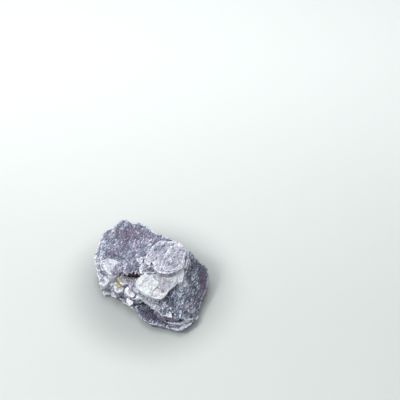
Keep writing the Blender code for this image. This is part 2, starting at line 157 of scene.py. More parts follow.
PLATES = [
    Plate(
        "base_plate",
        [(28, -7), (28, 1), (26.5, 8), (19, 14.5), (5, 20), (-9, 24), (-19, 20), (-25, 13), (-26, 5),
         (-23, -1), (-17, -5.5), (-11, -10), (-7.8, -14.5), (-6, -18.6), (-3, -22.4), (4, -25.6),
         (9, -26.4), (14.6, -28.6), (18.5, -27.2), (22.4, -24), (25.2, -20.2), (26, -15)],
        top=5.4, dip=(0.01, 0.02), thickness=5.4, finish="flank", spread=-1.6,
    ),
    Plate(
        "core",
        [(20.5, 8.5), (13, 14.5), (3, 18.5), (-6, 22.5), (-15, 25), (-21, 20.5), (-23.5, 12), (-22.5, 4),
         (-17, -1.5), (-10, -2.4), (-5, -3.2), (-2.4, -6), (4, -6.4), (13, -6), (18.4, -4.5), (20, 1)],
        top=20.2, dip=(0.139, 0.141), thickness=18, spread=1.5, lean=2.5, lean_to=-60,
    ),
    Plate(
        "step_plate",
        [(20.3, 6.5), (19.6, 1), (18.3, -2.2), (13, -2.6), (6.4, -2.8), (4, -4.6), (0, -5), (-2.8, -4.8),
         (-5, -3.4), (-4, 1), (4, 6), (12, 9.5)],
        top=23.3, dip=(0.02, 0.04), thickness=7, finish="pale", spread=0.8,
    ),
    Plate(
        "rear_ledge",
        [(29.6, 5.5), (28, 9), (23.5, 13.5), (17, 16.5), (7, 21), (-5, 25.5), (-13, 28), (-20, 24),
         (-24, 17), (-20, 8), (0, 4), (18, 0)],
        top=15.4, dip=(-0.1, -0.17), thickness=8.5, spread=-0.6,
    ),
    Plate(
        "rear_block",
        [(0, 14), (-1.6, 21), (-5, 25), (-9, 25.4), (-12, 28), (-16, 27.4), (-21.6, 23.4), (-24.4, 16),
         (-22, 12), (-10, 10)],
        top=17.4, dip=(0.05, -0.05), thickness=6, spread=-0.5,
    ),
    Plate(
        "rear_step",
        [(10, 12), (11, 15.4), (15.6, 15), (19.4, 14.2), (21.4, 11.8), (23.6, 9.8), (24, 6), (23, 2),
         (12, 2)],
        top=17.2, dip=(-0.02, -0.02), thickness=6, spread=0.6,
    ),
    Plate(
        "flank",
        [(17.6, -4), (17.8, -8), (19, -12), (18, -17.6), (17, -21), (17.6, -23.8), (20.8, -23.8),
         (24.4, -20.8), (26.6, -15.4), (28, -10.5), (29.9, -5.2), (30.8, 0), (31.1, 4.4), (29.4, 7.1),
         (24.6, 8.6), (20.6, 9.4), (18.8, 3)],
        top=38, dip=(-0.95, 0.45), thickness=9, finish="flank", spread=-1, lean=0.8, lean_to=-60,
    ),
    Plate(
        "front_slab",
        [(18.4, -5), (19.2, -12), (18, -18), (17.2, -22.4), (15.4, -24.2), (12, -24.7), (9, -24),
         (6.6, -22.8), (4.4, -20.9), (1.2, -17.8), (-2, -15.6), (-5.6, -13), (-8.6, -9), (-5, -4),
         (8, -3)],
        top=18.6, dip=(0.1, 0.44), thickness=5, finish="slab", spread=-1.2, lean=1.2, lean_to=90,
        shine=0.35,
    ),
    Plate(
        "slab_sheet",
        [(17.4, -7), (18.2, -12.6), (16.4, -15), (14.6, -19.4), (12, -21.9), (9.4, -20.4), (8, -21.6),
         (5.4, -18.4), (2.4, -14.8), (3.4, -10), (8, -7)],
        top=19.1, dip=(0.1, 0.45), thickness=1.6, finish="slab", spread=0.3, angular=True, shine=0.4,
    ),
    Plate(
        "under_lip",
        [(4, -20), (8.4, -23.9), (12, -25.6), (16, -25.8), (19, -23.8), (18, -18), (8, -16)],
        top=7.4, dip=(0.02, 0.03), thickness=3, finish="flank", spread=0.4,
    ),
    Plate(
        "lower_lobe",
        [(-12, 0), (-21, 3), (-26.8, 2), (-27.6, -2), (-25.4, -5.8), (-21.4, -5.6), (-18, -7.6),
         (-14.6, -10.4), (-11, -13), (-7, -15.6), (-3, -15), (-4, -8)],
        top=11.25, dip=(0.25, 0.4), thickness=4.4, finish="pale", spread=-0.8, angular=True,
    ),
    Plate(
        "middle_lobe",
        [(-12, 2), (-22, 5), (-28.6, 3.4), (-28.2, -0.4), (-26.8, -4), (-23.6, -3.4), (-20.6, -4.6),
         (-18.4, -7.8), (-15, -7.8), (-12.6, -11), (-8.6, -13.4), (-4.5, -13), (-5, -6)],
        top=20.3, dip=(0.3, 0.5), thickness=5, finish="pale", spread=0.3,
    ),
    Plate(
        "upper_lobe",
        [(-13.2, -4.4), (-15, 2), (-20, 5), (-26, 6), (-26.6, 2.4), (-23.6, 0.4), (-21.4, -2.6),
         (-17.6, -3.4), (-15, -6.6), (-11.4, -7), (-8.8, -10.6), (-5.4, -11.4), (-4.2, -8.4), (-5, -6),
         (-7, -4.4), (-8.6, -4.4), (-10.6, -4.6)],
        top=23.3, dip=(0.25, 0.6), thickness=6, finish="pale", spread=0.3,
    ),
    Plate(
        "crumb_left",
        [(-21.4, -2.2), (-23, -0.6), (-25.6, -1), (-26.6, -3.6), (-24.6, -5.4), (-22.4, -4.4)],
        top=24.2, dip=(0.42, 0.5), thickness=3.5, finish="pale", spread=0.3, angular=True,
    ),
    Plate(
        "crumb_front",
        [(-14, -6.4), (-16.4, -4.8), (-19, -6), (-19.4, -7.8), (-17, -9.4), (-14.6, -9)],
        top=19.6, dip=(0.3, 0.34), thickness=4, finish="pale", spread=0.3, angular=True,
    ),
    Plate(
        "left_sliver",
        [(-22, 23), (-27.6, 20.4), (-30, 16.8), (-31, 12.8), (-30.6, 8.9), (-28.6, 3.4), (-22, 2)],
        top=12.8, dip=(0.02, 0.26), thickness=6, finish="pale", spread=-0.9,
    ),
    Plate(
        "top_plate",
        [(19, 8.4), (13.5, 13.8), (9.6, 16.4), (6, 19.6), (1.6, 21.2), (-2, 24.3), (-5.6, 27.2),
         (-8.4, 28.1), (-10.3, 26.6), (-12.6, 29), (-15.2, 30), (-18, 29.2), (-19.9, 27.5), (-21.2, 25.2),
         (-24.8, 24.4), (-27, 20.8), (-27.6, 12), (-26.6, 3.2), (-23.3, -0.9), (-21, -3.2), (-18.8, -4.6),
         (-16.6, -3.4), (-14.6, -1.6), (-12.2, -3.6), (-11, -2.2), (-9.6, -3.5), (-8.4, -1.6),
         (-7.2, -3.3), (-6.2, -2.2), (-4.8, -3.8), (5, -3.6), (15, -2), (18.6, 2)],
        top=21.85, dip=(0.139, 0.141), thickness=3.6, spread=-0.7,
    ),
    Plate(
        "top_sheet",
        [(15, 10.6), (8, 15.2), (1, 18.6), (-4, 22.6), (-8, 23), (-11.4, 21.4), (-14.6, 24.6),
         (-18, 23.4), (-17.6, 19.6), (-21, 15), (-19, 9.4), (-13.4, 6.6), (-9.6, 1.8), (-3.6, 0.6),
         (6, -1), (14, -1)],
        top=22.1, dip=(0.139, 0.141), thickness=1.4, spread=0.2, shine=0.3,
    ),
    Plate(
        "round_plate_foot",
        [(18.4, 6), (17, 10.6), (13.6, 12.2), (8.6, 12.8), (4.6, 11.8), (1.6, 9.4), (-0.8, 6),
         (-2.4, 3.4), (-2.4, 1), (0, -1.2), (2, -1.6), (3.2, -3.6), (5.4, -5), (9, -5.7), (13.6, -4.8),
         (16.4, -2.6), (17.6, 1)],
        top=24.4, dip=(0.05, 0.07), thickness=3, finish="pale", spread=0.4,
    ),
    Plate(
        "round_plate",
        [(19.4, 5.8), (17.7, 9.9), (15.4, 11.9), (11, 12.9), (8, 13.4), (5.8, 13.4), (3.6, 11.6), (2, 10),
         (-0.1, 6.6), (-1.7, 3.4), (-0.8, 1.6), (1.9, -0.3), (2.6, -2.6), (3.8, -4.8), (6, -6.1),
         (9.3, -6.9), (12.3, -6.9), (15, -5.6), (17.4, -3.3), (18.5, 0.8)],
        top=25.6, dip=(0.04, 0.075), thickness=1.5, finish="pale", spread=-0.4, steps=0,
    ),
    Plate(
        "round_leaf",
        [(18.9, 5.6), (17.2, 9.3), (15, 11), (12.6, 10.4), (11.4, 11.4), (9.6, 9.8), (9.4, 7.6),
         (8.2, 5.4), (7.4, 2.6), (6.2, -0.4), (6.4, -3.4), (9.6, -6), (13.6, -5.6), (16.6, -3.4),
         (18, 0.8)],
        top=25.85, dip=(0.04, 0.075), thickness=1.1, finish="pale", spread=0.2, steps=0, shine=0.8,
    ),
    Plate(
        "centre_flake",
        [(17.9, -4.6), (17.6, -2.4), (14, -3.4), (5, -3.8), (0, -4.8), (-4, -5.4), (-6.5, -8.6),
         (-6.3, -10.6), (-4.8, -12.8), (-2.8, -14.4), (0.8, -15.9), (4.2, -17), (6.4, -16.8),
         (8.4, -15.6), (10.2, -13.6), (12, -11.2), (14.3, -8.8), (17.4, -7.8)],
        top=25, dip=(-0.02, 0.53), thickness=3.4, finish="bright", spread=-0.5, lean=0.8, lean_to=90,
        steps=1, shine=0.6,
    ),
    Plate(
        "bright_flake",
        [(1.6, -5.8), (3.2, -7.6), (5, -8.9), (3.9, -10.4), (2.3, -12.2), (1.3, -14), (0.4, -15.4),
         (-2.6, -14), (-4.6, -12.6), (-6, -10.4), (-6, -8.6), (-3.8, -6), (-1.4, -5.6)],
        top=25.45, dip=(-0.02, 0.53), thickness=1.6, finish="bright", spread=0.1, steps=1,
    ),
    Plate(
        "oval_flake",
        [(-11.2, -7.2), (-9.4, -8.8), (-8.2, -11), (-8.3, -12.8), (-10, -13.1), (-11.8, -11.6),
         (-13.2, -9.4), (-12.8, -7.8)],
        top=18.4, dip=(0.16, 0.36), thickness=1.8, finish="bright", spread=-0.2, steps=1,
    ),
    Plate(
        "silver_lip",
        [(-12.8, -11.4), (-9.6, -11), (-8.2, -12.6), (-8.6, -14.6), (-10.2, -15.4), (-12, -13.4)],
        top=16.6, dip=(0.2, 0.42), thickness=2, finish="bright", spread=-0.2, steps=1, angular=True,
    ),
    Plate(
        "edge_chip",
        [(-3.2, 4.2), (-4.4, 5.4), (-5.2, 4.2), (-7, 4.6), (-6.4, 2.4), (-4.4, 1.2)],
        top=22.75, dip=(0.06, 0.2), thickness=1.6, finish="pale", steps=1, angular=True,
    ),
    Plate(
        "foot_chip",
        [(1.6, 1), (0.2, 2.4), (-1.6, 1.6), (-1.8, -0.4), (0.4, -0.8)],
        top=24.6, dip=(0.1, 0.16), thickness=1.4, finish="bright", steps=1, angular=True,
    ),
    Plate(
        "rim_chip",
        [(-18, -7), (-19.6, -5.6), (-21.4, -6.2), (-21, -8), (-18.8, -8.6)],
        top=11.6, dip=(0.1, 0.5), thickness=1.6, finish="bright", steps=1, angular=True,
    ),
    Plate(
        "lip_chip",
        [(12.2, -24), (11.8, -21.2), (9.4, -22.3), (6.9, -23)],
        top=20.2, dip=(0.1, 0.46), thickness=1.8, finish="bright", steps=1, angular=True,
    ),
]


class Patch:
    """A place where the rock is stained, or where painted light lies on it: a painted highlight, or painted
    shade in a gap. Lengths are in millimetres.

    kind: one of PATCH_KINDS
    middle: where it is, measured as the outlines are
    size: half its length and half its width
    turn: how far its length is turned from +X, in degrees
    heights: it shows between these two heights above the ground
    """

    def __init__(self, kind, middle, size, turn=0, strength=1, heights=(0, 40)):
        self.kind = kind
        self.middle = np.array(middle, float)
        self.size = np.array(size, float)
        self.turn = math.radians(turn)
        self.strength = strength
        self.heights = heights


# The silver kind is painted highlight; the violet and the rust kinds are partly the rock's own colour,
# partly painted shade
PATCH_KINDS = ("silver_sheen", "lavender", "violet_and_shade", "ochre", "rust_and_shade")

PATCHES = [
    # Painted highlights: silvery patches where the mica catches the light
    Patch("silver_sheen", (-21.9, 2.6), (5.5, 3.6), turn=35, strength=1.3, heights=(14, 40)),
    Patch("silver_sheen", (-25.5, 9), (1.6, 5), strength=0.6, heights=(14, 40)),
    Patch("silver_sheen", (-12.4, 6.7), (5, 2), turn=40, strength=0.35, heights=(14, 40)),
    Patch("silver_sheen", (5.8, -17.9), (8, 3), turn=48, strength=0.45, heights=(8, 22)),
    Patch("silver_sheen", (-1.2, -15), (8, 3), turn=-38, strength=1.3, heights=(7, 20)),
    Patch("silver_sheen", (5.4, -21.2), (6, 1.2), turn=-36, strength=1, heights=(7, 12)),
    Patch("silver_sheen", (16.6, -16.6), (4, 0.9), turn=50, strength=1, heights=(8, 16)),
    Patch("silver_sheen", (16.4, -5.6), (2.4, 4), turn=-5, strength=1.8, heights=(14, 25)),
    Patch("silver_sheen", (18.8, -7.2), (2.2, 3.4), turn=10, strength=1.1, heights=(12, 22)),
    Patch("silver_sheen", (14.6, -4), (2.6, 2), turn=30, strength=0.6, heights=(25, 28)),
    Patch("silver_sheen", (13.6, -27.4), (3, 1), turn=-28, strength=1.2, heights=(2, 8)),
    Patch("silver_sheen", (19, -25.4), (4.4, 1.4), turn=35, strength=1.5, heights=(2, 8)),
    Patch("silver_sheen", (19.9, -17.6), (3, 0.8), turn=60, strength=0.9, heights=(2, 16)),
    Patch("silver_sheen", (23, -18.6), (3.4, 0.9), turn=50, strength=0.9, heights=(2, 16)),
    Patch("silver_sheen", (-22, -3.6), (7.5, 5), turn=-10, strength=0.9, heights=(1, 17.5)),
    Patch("silver_sheen", (-23.4, -5), (5, 2.6), turn=-15, strength=1.8, heights=(0, 9)),
    Patch("lavender", (8.4, -10.4), (4.8, 3), turn=35, strength=1.3, heights=(14, 26)),
    Patch("lavender", (8, -5.4), (6, 1.6), turn=4, strength=1, heights=(18, 24)),
    Patch("lavender", (12.4, 4), (3.4, 2.4), turn=40, strength=0.6, heights=(25, 30)),
    # Violet: the rock's own deep violet, and below, painted shade in gaps
    Patch("violet_and_shade", (-13.8, 13.3), (3.4, 2), turn=55, strength=0.8, heights=(14, 40)),
    Patch("violet_and_shade", (-7, 7.2), (3.4, 2.2), turn=40, strength=0.5, heights=(14, 40)),
    Patch("violet_and_shade", (-20.6, 14.5), (3, 5), turn=20, strength=0.35, heights=(14, 40)),
    Patch("violet_and_shade", (-12.6, 21.5), (8, 5), turn=10, strength=1, heights=(14, 40)),
    Patch("violet_and_shade", (-4.5, 20), (6, 3.4), turn=-30, strength=0.8, heights=(14, 40)),
    Patch("violet_and_shade", (1, -3), (3, 1.5), turn=-20, strength=0.9, heights=(22, 24.6)),
    Patch("violet_and_shade", (28.4, -0.6), (2.6, 8), turn=-6, strength=1.4, heights=(0, 14)),
    Patch("violet_and_shade", (29, -6), (3, 6), turn=-12, strength=1.3, heights=(0, 13)),
    Patch("violet_and_shade", (25.6, -16), (1.8, 4), turn=-24, strength=0.8, heights=(0, 9)),
    Patch("violet_and_shade", (12.4, -15), (2.4, 4), turn=-38, strength=0.8, heights=(8, 17.5)),
    # Painted shade: the dark gap under the slab's lip
    Patch("violet_and_shade", (-2.4, -18.6), (4, 2.4), turn=-30, strength=1.3, heights=(0, 9.5)),
    Patch("violet_and_shade", (3.4, -21.4), (5, 1.8), turn=-28, strength=1.3, heights=(0, 9.5)),
    Patch("violet_and_shade", (11, -23.9), (4.4, 1.4), turn=-12, strength=1.3, heights=(0, 9)),
    Patch("violet_and_shade", (25, 4.6), (6, 3), turn=-35, strength=0.7, heights=(6, 24)),
    # Painted shade in a small hole between the lobes
    Patch("violet_and_shade", (-16.4, -7.2), (1.6, 1.2), turn=30, strength=1, heights=(2, 13)),
    Patch("ochre", (-16.8, -5.2), (2.6, 2.2), turn=20, strength=1.3, heights=(8, 22)),
    Patch("ochre", (-14.2, -4.2), (1.8, 1), turn=30, strength=0.6, heights=(8, 22)),
    # Rust: a red-brown stain, with painted shade darkening the crevice
    Patch("rust_and_shade", (-12.4, -3.6), (2.8, 1.4), turn=-40, strength=1.4, heights=(8, 18.9)),
    Patch("rust_and_shade", (-7, -3.6), (4.6, 1.9), turn=5, strength=1.5, heights=(8, 19.9)),
    Patch("rust_and_shade", (-9, -2.4), (4, 2.4), turn=5, strength=2, heights=(8, 18.4)),
]


# Numbers that look random but repeat on every run


def lattice_noise(x, y, cell, random):
    """Smooth bumps from 0 to 1: random heights on a square lattice, eased from corner to corner."""
    side = LATTICE_SIDE
    heights = random.random((side, side))
    u, v = x / cell, y / cell
    i, j = np.floor(u).astype(int), np.floor(v).astype(int)
    s, t = u - i, v - j
    s, t = s * s * (3 - 2 * s), t * t * (3 - 2 * t)
    low = heights[i % side, j % side] * (1 - s) + heights[(i + 1) % side, j % side] * s
    high = heights[i % side, (j + 1) % side] * (1 - s) + heights[(i + 1) % side, (j + 1) % side] * s
    return low * (1 - t) + high * t


def cell_levels(x, y, size, random):
    """A random level from 0 to 1 for each point, the same for all the points nearest to one of many seeds,
    which lie one to a square cell: an angular patchwork, longer along STREAK_TURN than across it."""
    along = (x * math.cos(STREAK_TURN) + y * math.sin(STREAK_TURN)) / (1.5 * size)
    aside = (y * math.cos(STREAK_TURN) - x * math.sin(STREAK_TURN)) / size
    along = along + 0.5 * lattice_noise(x, y, size / 2, random)
    aside = aside + 0.5 * lattice_noise(x, y, size / 2.4, random)
    side = LATTICE_SIDE
    shift = random.random((side, side, 2))
    levels = random.random((side, side))
    nearest = np.full(x.shape, np.inf)
    chosen = np.zeros(x.shape)
    for i in (-1, 0, 1):
        for j in (-1, 0, 1):
            cell_x, cell_y = np.floor(along).astype(int) + i, np.floor(aside).astype(int) + j
            seed = shift[cell_x % side, cell_y % side]
            distance = (cell_x + seed[..., 0] - along) ** 2 + (cell_y + seed[..., 1] - aside) ** 2
            closer = distance < nearest
            nearest = np.where(closer, distance, nearest)
            chosen = np.where(closer, levels[cell_x % side, cell_y % side], chosen)
    return chosen


def bent(points, random):
    """Points moved a little by a slow bumpy field and a quick one, the same for all plates, so that no plate
    stays quite flat or its rim quite level."""
    x, y = points[:, 0] + 0.6 * points[:, 2], points[:, 1] + 0.5 * points[:, 2]
    sway = [lattice_noise(x, y, size, random) - 0.5 for size in BEND_SIZES]
    ripple = [lattice_noise(x, y, size, random) - 0.5 for size in RIPPLE_SIZES]
    moved = points + BEND * np.stack(sway, axis=1) + RIPPLE * BEND * np.stack(ripple, axis=1)
    return np.where(points[:, 2:] > 0, moved, points)


def broken_line(count, knots, random):
    """A closed zigzag from -1 to 1: random offsets at uneven knots, joined by straight lines."""
    places = np.sort(random.random(max(3, knots)))
    offsets = random.uniform(-1, 1, len(places))
    at = np.arange(count) / count
    places = np.r_[places[-1] - 1, places, places[0] + 1]
    return np.interp(at, places, np.r_[offsets[-1], offsets, offsets[0]])


# The surface of one plate


def rim_line(points, spacing, angular):
    """A closed line through the points, read at even steps: straight, or a Catmull-Rom curve."""
    t = np.arange(0, 1, 1 / 32)[:, None, None]
    before, start, end, after = (np.roll(points, -k, axis=0)[None] for k in (-1, 0, 1, 2))
    curve = 0.5 * (
        2 * start
        + (end - before) * t
        + (2 * before - 5 * start + 4 * end - after) * t**2
        + (3 * start - before - 3 * end + after) * t**3
    )
    fine = start + (end - start) * t if angular else curve
    fine = fine.transpose(1, 0, 2).reshape(-1, 2)
    fine = np.vstack([fine, fine[:1]])
    along = np.r_[0, np.cumsum(np.linalg.norm(np.diff(fine, axis=0), axis=1))]
    count = max(24, round(along[-1] / spacing))
    at = np.arange(count) * along[-1] / count
    return np.stack([np.interp(at, along, fine[:, axis]) for axis in (0, 1)], axis=1)


def anticlockwise(points):
    following = np.roll(points, -1, axis=0)
    area = np.sum(points[:, 0] * following[:, 1] - following[:, 0] * points[:, 1])
    return points if area > 0 else points[::-1]


def outward(points):
    """Unit directions that point out of an anticlockwise rim, one at each point."""
    along = np.roll(points, -3, axis=0) - np.roll(points, 3, axis=0)
    out = np.stack([along[:, 1], -along[:, 0]], axis=1)
    return out / np.linalg.norm(out, axis=1, keepdims=True)


def leaf_offsets(count, leaves, length, raggedness, random):
    """How far each leaf's rim stands in or out. Each leaf keeps part of the last one's line and adds a
    zigzag of its own, and about one in four has a piece broken away over a stretch of the rim."""
    shared = broken_line(count, int(length / SHARED_KNOTS[0]), random)
    shared = shared + 0.6 * broken_line(count, int(length / SHARED_KNOTS[1]), random)
    lines = []
    last = np.zeros(count)
    at = np.arange(count) / count
    for _ in range(leaves):
        own = broken_line(count, int(length / OWN_KNOTS[0]), random)
        own = own + 0.25 * broken_line(count, int(length / OWN_KNOTS[1]), random)
        last = LEAF_MEMORY * last + 0.6 * own
        line = last + shared
        if random.random() < BREAK_CHANCE:
            middle, half = random.random(), random.uniform(*BREAK_HALF) / length
            away = np.abs((at - middle + 0.5) % 1 - 0.5)
            line = line - random.uniform(*BREAK_DEPTH) * (away < half)
        lines.append(line * raggedness)
    return lines


def face_relief(x, y, plate, leaf, random):
    """Height of the top face above its plane, always under 0: leaves missing over angular patches of two
    sizes, a slow swell, and fine grain."""
    broad = np.floor(cell_levels(x, y, STEP_SIZES[0], random) * (plate.steps + 1))
    small = np.floor(cell_levels(x, y, STEP_SIZES[1], random) * 3)
    swell = SWELL_HEIGHT * lattice_noise(x, y, SWELL_SIZE, random)
    grain = 0.08 * lattice_noise(x, y, 0.8, random) + 0.12 * lattice_noise(x, y, 1.7, random)
    return -(0.5 * leaf * broad + 0.2 * leaf * small + swell + grain)


def plate_surface(plate, size, random):
    """A closed surface on a grid: one way round the rim, the other from the middle of the top face out to
    the rim, down the leaves and back to the middle of the underside.

    Returns the rings of points, and for each point how deep it lies under the top face, how near the rim
    it is (1 at the rim) and whether it is on the broken edge (1) or a face (0).
    """
    spacing = size["grid"]
    rim = rim_line(anticlockwise(plate.outline), spacing, plate.angular)
    count = len(rim)
    length = count * spacing
    out = outward(rim)
    facing = np.cos(np.arctan2(out[:, 1], out[:, 0]) - plate.lean_to)
    foot = plate.spread + plate.lean * np.maximum(facing, 0)
    leaves = max(2, round(plate.thickness / size["leaf"]))
    ragged = leaf_offsets(count, leaves, length, size["ragged"], random)
    relief_seed = random.integers(1 << 30)
    heart = rim.mean(axis=0)
    reach = np.linalg.norm(rim - heart, axis=1).mean()

    def at_height(place, depth):
        top = plate.top + place @ plate.dip
        same_relief = np.random.default_rng(relief_seed)
        relief = face_relief(place[:, 0], place[:, 1], plate, size["leaf"], same_relief)
        if plate.thickness > RELIEF_FADE:
            relief = relief * np.exp(-depth / RELIEF_FADE)
        room = np.minimum((top - GROUND_GAP) / plate.thickness, 1) if plate.name != "base_plate" else 1
        height = top + relief * min(1, plate.thickness / 2) - depth * room
        height = np.maximum(height, 0)
        if plate.name == "base_plate" and depth >= plate.thickness:
            height = np.zeros_like(height)
        return np.column_stack([place, height])

    rings, depths, nearness, edges = [], [], [], []

    def add(place, depth, near, edge):
        rings.append(at_height(place, depth))
        depths.append(np.full(count, depth))
        nearness.append(np.full(count, near) if np.isscalar(near) else near)
        edges.append(np.full(count, float(edge)))

    first = rim + out * ragged[0][:, None]
    steps_in = max(3, round(reach / spacing))
    for share in (np.arange(steps_in) + 0.5) / steps_in:
        place = heart + (rim - heart) * share + out * (ragged[0] * share**6)[:, None]
        gap = np.linalg.norm(first - heart, axis=1) * (1 - share)
        add(place, 0, np.clip(1 - gap / RIM_WIDTH, 0, 1), False)
    for k in range(leaves):
        upper = plate.thickness * k / leaves
        lower = plate.thickness * (k + 1) / leaves
        for depth in (upper, lower):
            place = rim + out * (ragged[k] + foot * depth / plate.thickness)[:, None]
            add(place, depth, max(0, 1 - depth / RIM_WIDTH), True)
    last = rings[-1][:, :2]
    steps_back = max(3, round(reach / (spacing * 3.5)))
    for share in 1 - (np.arange(steps_back) + 0.6) / steps_back:
        add(heart + (last - heart) * max(share, 0.03), plate.thickness, 0, False)
    return np.array(rings), np.array(depths), np.array(nearness), np.array(edges)


def grid_faces(rings, count):
    """Quads between neighbouring rings of a grid that is closed round the rim, and a fan at each end."""
    ring, place = np.meshgrid(np.arange(rings - 1), np.arange(count), indexing="ij")
    here, there = ring * count, (ring + 1) * count
    following = (place + 1) % count
    corners = [here + place, there + place, there + following, here + following]
    quads = np.stack(corners, axis=-1).reshape(-1, 4)
    top_pole, foot_pole = rings * count, rings * count + 1
    around = np.arange(count)
    after = (around + 1) % count
    top_fan = np.stack([np.full(count, top_pole), around, after], axis=1)
    last = (rings - 1) * count
    foot_fan = np.stack([np.full(count, foot_pole), last + after, last + around], axis=1)
    return quads, top_fan, foot_fan


def mesh_from(name, points, face_groups):
    """A mesh from an array of points and arrays of faces, all faces of one array with as many corners."""
    mesh = bpy.data.meshes.new(name)
    corners = np.concatenate([group.ravel() for group in face_groups])
    sizes = np.concatenate([np.full(len(group), group.shape[1]) for group in face_groups])
    mesh.vertices.add(len(points))
    mesh.vertices.foreach_set("co", np.asarray(points, np.float32).ravel())
    mesh.loops.add(len(corners))
    mesh.loops.foreach_set("vertex_index", corners.astype(np.int32))
    mesh.polygons.add(len(sizes))
    mesh.polygons.foreach_set("loop_start", np.r_[0, np.cumsum(sizes)[:-1]].astype(np.int32))
    mesh.update(calc_edges=True)
    return mesh


def set_values(mesh, name, values):
    attribute = mesh.attributes.new(name, "FLOAT", "POINT")
    attribute.data.foreach_set("value", np.asarray(values, np.float32).ravel())


def read_values(items, name, width=1, whole=False):
    """A property of all the vertices, edges, corners or faces of a mesh: one number or one row for each."""
    flat = np.empty(len(items) * width, np.int32 if whole else np.float32)
    items.foreach_get(name, flat)
    values = flat.astype(int if whole else float)
    return values.reshape(-1, width) if width > 1 else values


def placed(name, data):
    """A new object for a mesh, a light or a camera, linked to the scene."""
    piece = bpy.data.objects.new(name, data)
    bpy.context.scene.collection.objects.link(piece)
    return piece


def mesh_with_modifiers(piece):
    whole = piece.evaluated_get(bpy.context.evaluated_depsgraph_get())
    return bpy.data.meshes.new_from_object(whole)


def plate_object(plate, size, bend_seed, random):
    rings, depths, nearness, edges = plate_surface(plate, size, random)
    ring_count, count = rings.shape[:2]
    poles = np.stack([rings[0].mean(axis=0), rings[-1].mean(axis=0)])
    points = bent(np.vstack([rings.reshape(-1, 3), poles]), np.random.default_rng(bend_seed))
    points[:, 2] = np.maximum(points[:, 2], 0)
    points[:, :2] -= BOX_MIDDLE
    faces = grid_faces(ring_count, count)
    mesh = mesh_from(plate.name, points * MM, faces)
    leaf_depth = np.r_[depths.ravel(), 0, plate.thickness]
    set_values(mesh, "leaf_depth", leaf_depth)
    # How near the rim each point is, times how much paler the rim is painted (partly painted highlight)
    set_values(mesh, "rim", np.r_[nearness.ravel(), 0, 0] * plate.shine)
    on_edge = np.r_[edges.ravel(), 0, 0]
    first_corners = np.concatenate([group[:, 0] for group in faces])
    across_corners = np.concatenate([group[:, 2] for group in faces])
    broken = (on_edge[first_corners] > 0) & (on_edge[across_corners] > 0)
    under = leaf_depth[first_corners] >= plate.thickness
    finish = np.where(broken | under, FINISHES.index("edge"), FINISHES.index(plate.finish))
    for _ in FINISHES:
        mesh.materials.append(None)
    mesh.polygons.foreach_set("material_index", finish.astype(np.int32))
    return placed(plate.name, mesh)


def joined_block(plates, name):
    """One closed mesh from all the plates, by a Boolean union, with only the outermost surface kept."""
    grown_on = bpy.data.collections.new("plates")
    bpy.context.scene.collection.children.link(grown_on)
    for plate in plates[1:]:
        grown_on.objects.link(plate)
    joined = plates[0].modifiers.new("grown together", "BOOLEAN")
    joined.operation = "UNION"
    joined.solver = "MANIFOLD"
    joined.operand_type = "COLLECTION"
    joined.collection = grown_on
    mesh = mesh_with_modifiers(plates[0])
    for plate in plates:
        bpy.data.objects.remove(plate, do_unlink=True)
    bpy.data.collections.remove(grown_on)
    mesh.name = name
    return placed(name, mesh)


def patch_strength(points, kind):
    """How strongly a kind of patch shows at each point: a soft bell over each patch, the strongest counts.

    points are in millimetres, measured as the outlines are.
    """
    strongest = np.zeros(len(points))
    for patch in PATCHES:
        if patch.kind != kind:
            continue
        across = points[:, :2] - patch.middle
        along = across @ np.array([math.cos(patch.turn), math.sin(patch.turn)])
        aside = across @ np.array([-math.sin(patch.turn), math.cos(patch.turn)])
        bell = np.exp(-((along / patch.size[0]) ** 2 + (aside / patch.size[1]) ** 2))
        low, high = patch.heights
        shown = np.clip(points[:, 2] - low + 0.5, 0, 1) * np.clip(high - points[:, 2] + 0.5, 0, 1)
        strongest = np.maximum(strongest, patch.strength * bell * shown)
    return strongest


def hollow_values(mesh):
    """1 in a crack, 0 on a flat face and -1 on a sharp edge: how far each point's neighbours stand above its
    own tangent plane, as a share of their distance, averaged with the neighbours' values."""
    points = read_values(mesh.vertices, "co", 3)
    normals = read_values(mesh.vertex_normals, "vector", 3)
    ends = read_values(mesh.edges, "vertices", 2, whole=True)
    one, other = ends.T
    step = points[other] - points[one]
    step /= np.linalg.norm(step, axis=1, keepdims=True) + 1e-9
    count = np.bincount(ends.ravel(), minlength=len(points))
    rise = np.bincount(one, np.sum(normals[one] * step, axis=1), len(points))
    rise -= np.bincount(other, np.sum(normals[other] * step, axis=1), len(points))
    rise /= np.maximum(count, 1)
    for _ in range(2):
        shared = np.bincount(one, rise[other], len(points)) + np.bincount(other, rise[one], len(points))
        rise = 0.5 * rise + 0.5 * shared / np.maximum(count, 1)
    return np.clip(rise * 2.5, -1, 1)


def mark_patches(mesh):
    points = read_values(mesh.vertices, "co", 3) / MM
    points[:, :2] += BOX_MIDDLE
    for kind in PATCH_KINDS:
        set_values(mesh, kind, patch_strength(points, kind))


def thinned(block, triangles_most):
    """Fewer triangles where the surface is nearly flat."""
    block.data.calc_loop_triangles()
    count = len(block.data.loop_triangles)
    if count <= triangles_most:
        return
    thinner = block.modifiers.new("thinner", "DECIMATE")
    thinner.ratio = triangles_most / count
    thinner.use_collapse_triangulate = True
    mesh = mesh_with_modifiers(block)
    block.modifiers.clear()
    old = block.data
    block.data = mesh
    bpy.data.meshes.remove(old)


# The scales


